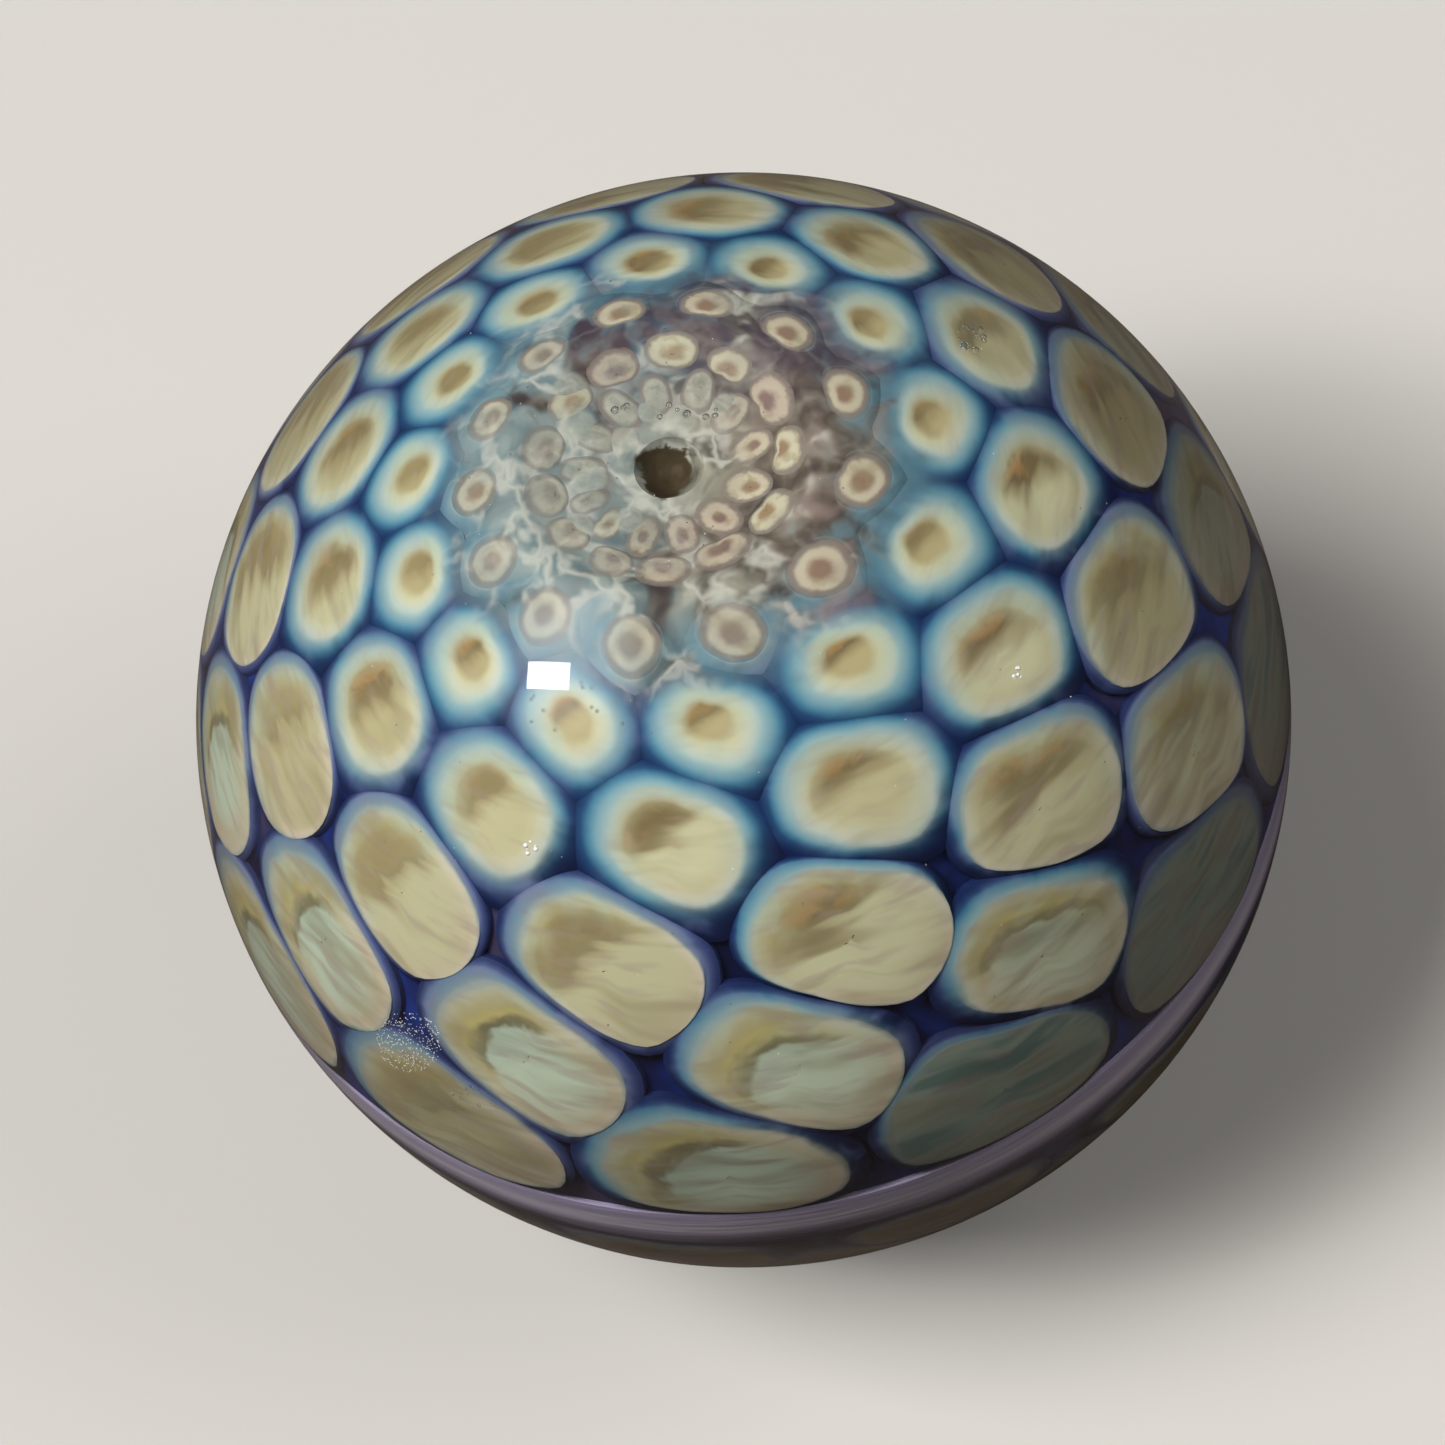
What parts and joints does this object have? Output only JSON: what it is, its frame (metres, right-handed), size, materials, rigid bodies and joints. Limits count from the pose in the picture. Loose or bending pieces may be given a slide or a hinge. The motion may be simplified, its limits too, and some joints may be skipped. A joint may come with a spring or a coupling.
{
  "type": "glass marble",
  "caption": "Solid glass ball with staggered rings of stacked coloured dots under a clear casing, running into a small funnel at the top, and a lilac band below",
  "frame": {"origin": "centre of the ball", "axes": "+Z along the axis of the dot rings, out of the funnel; -Y is the side that the picture looks at, +X to its right"},
  "size_m": [0.038, 0.038, 0.038],
  "materials": {
    "clear_glass": "fire-polished clear glass",
    "cobalt_glass": "deep transparent cobalt glass",
    "turquoise_glass": "turquoise glass",
    "cream_glass": "opaque ivory glass",
    "olive_glass": "streaky olive and amber glass",
    "teal_glass": "pale grey-green glass",
    "lilac_glass": "dusty lilac glass",
    "smoke_glass": "smoky mauve glass",
    "rose_glass": "ivory glass with a rose cast",
    "plum_glass": "dusty plum glass",
    "pit_glass": "dark olive glass"
  },
  "bodies": {
    "root": {"clear_casing": "clear_glass", "cobalt_ground": "cobalt_glass", "turquoise_rims": "turquoise_glass", "cream_rings": "cream_glass", "olive_hearts": "olive_glass", "teal_hearts": "teal_glass", "lilac_band": "lilac_glass", "smoke_funnel": "smoke_glass", "rose_seeds": "rose_glass", "plum_eyes": "plum_glass", "olive_pit": "pit_glass"}
  },
  "joints": []
}
